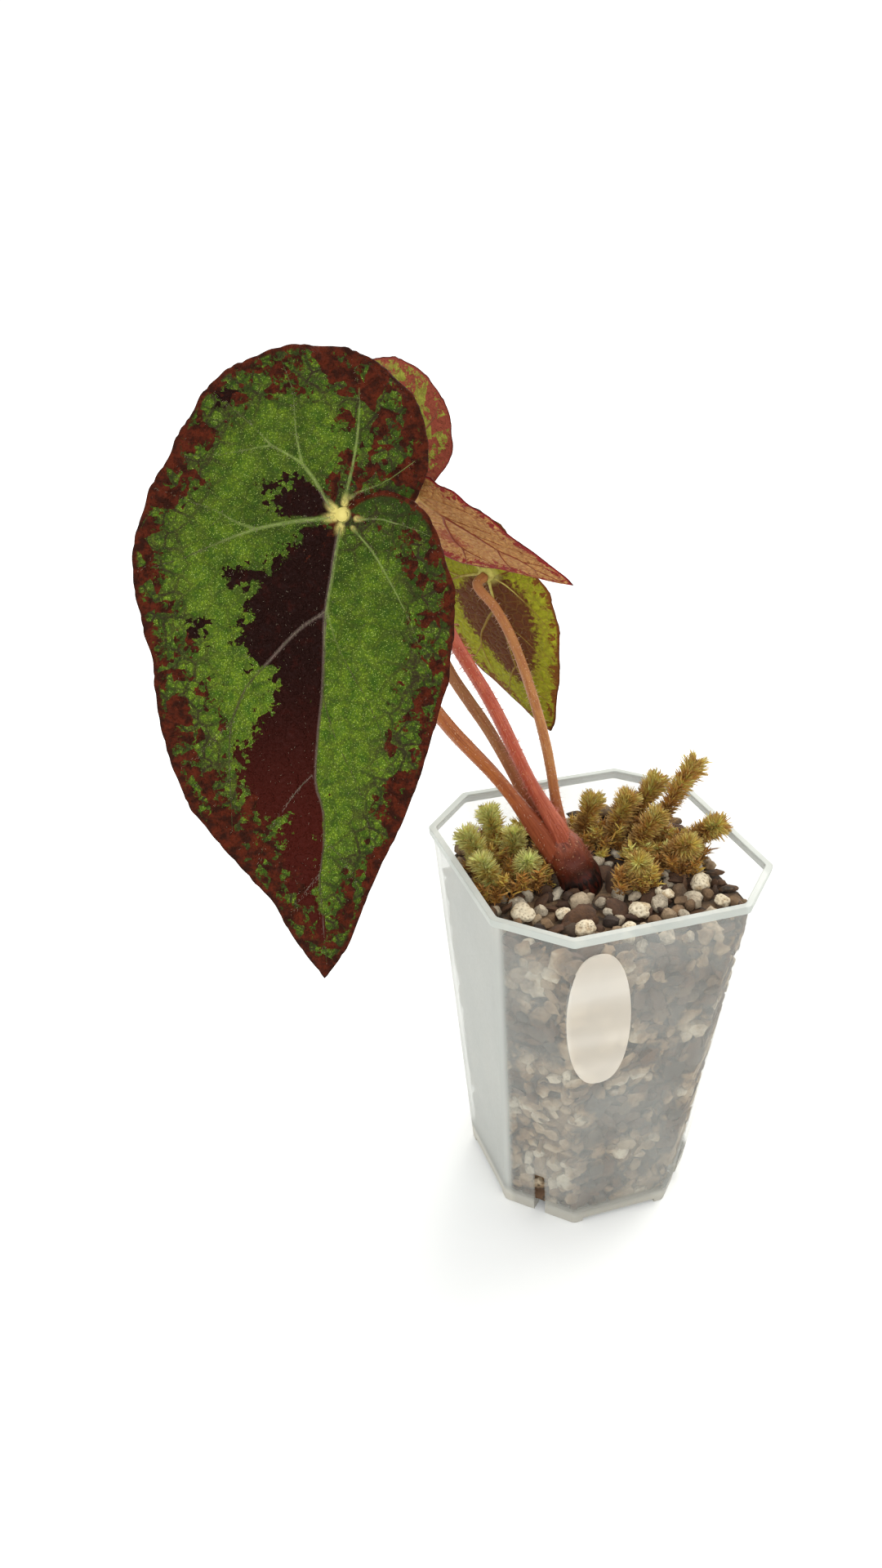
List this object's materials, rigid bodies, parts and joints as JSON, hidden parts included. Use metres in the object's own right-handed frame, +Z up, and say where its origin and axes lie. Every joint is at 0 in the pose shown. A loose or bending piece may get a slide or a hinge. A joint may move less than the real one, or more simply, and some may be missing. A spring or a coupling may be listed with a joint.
{
  "type": "potted begonia",
  "caption": "Young begonia with patterned, lopsided heart-shaped leaves on long red stalks, growing from moss and grit in a tall, clear, square nursery pot.",
  "frame": {"origin": "centre of the pot's underside, on the surface that it stands on", "axes": "+Z up; -Y out of the pot's front face with the raised oval; +X along that face, away from the leaning leaves"},
  "size_m": [0.1511, 0.1117, 0.2353],
  "materials": {
    "pot": "frosted clear polypropylene, about 1 mm thick",
    "soil": "loose bark, pumice and grit, damp",
    "pumice": "rough, dry and porous",
    "moss": "dry golden to olive moss",
    "crown": "fleshy red stem, faintly hairy",
    "stalk": "fleshy stalk with short pale hairs",
    "leaf": "velvety green blade with maroon patches and margin"
  },
  "bodies": {
    "root": {"pot": "pot", "soil": "soil", "crown": "crown", "leaf_main": "leaf", "leaf_back": "leaf", "leaf_side": "leaf", "leaf_rear": "leaf", "stalk_main": "stalk", "stalk_back": "stalk", "stalk_side": "stalk", "stalk_rear": "stalk", "moss_01": "moss", "moss_02": "moss", "moss_03": "moss", "moss_04": "moss", "moss_05": "moss", "moss_06": "moss", "moss_07": "moss", "moss_08": "moss", "moss_09": "moss", "moss_10": "moss", "moss_11": "moss", "moss_12": "moss", "moss_13": "moss", "moss_14": "moss", "pumice_01": "pumice", "pumice_02": "pumice", "pumice_03": "pumice", "pumice_04": "pumice", "pumice_05": "pumice", "pumice_06": "pumice", "pumice_07": "pumice", "pumice_08": "pumice", "pumice_09": "pumice", "pumice_10": "pumice"}
  },
  "joints": []
}
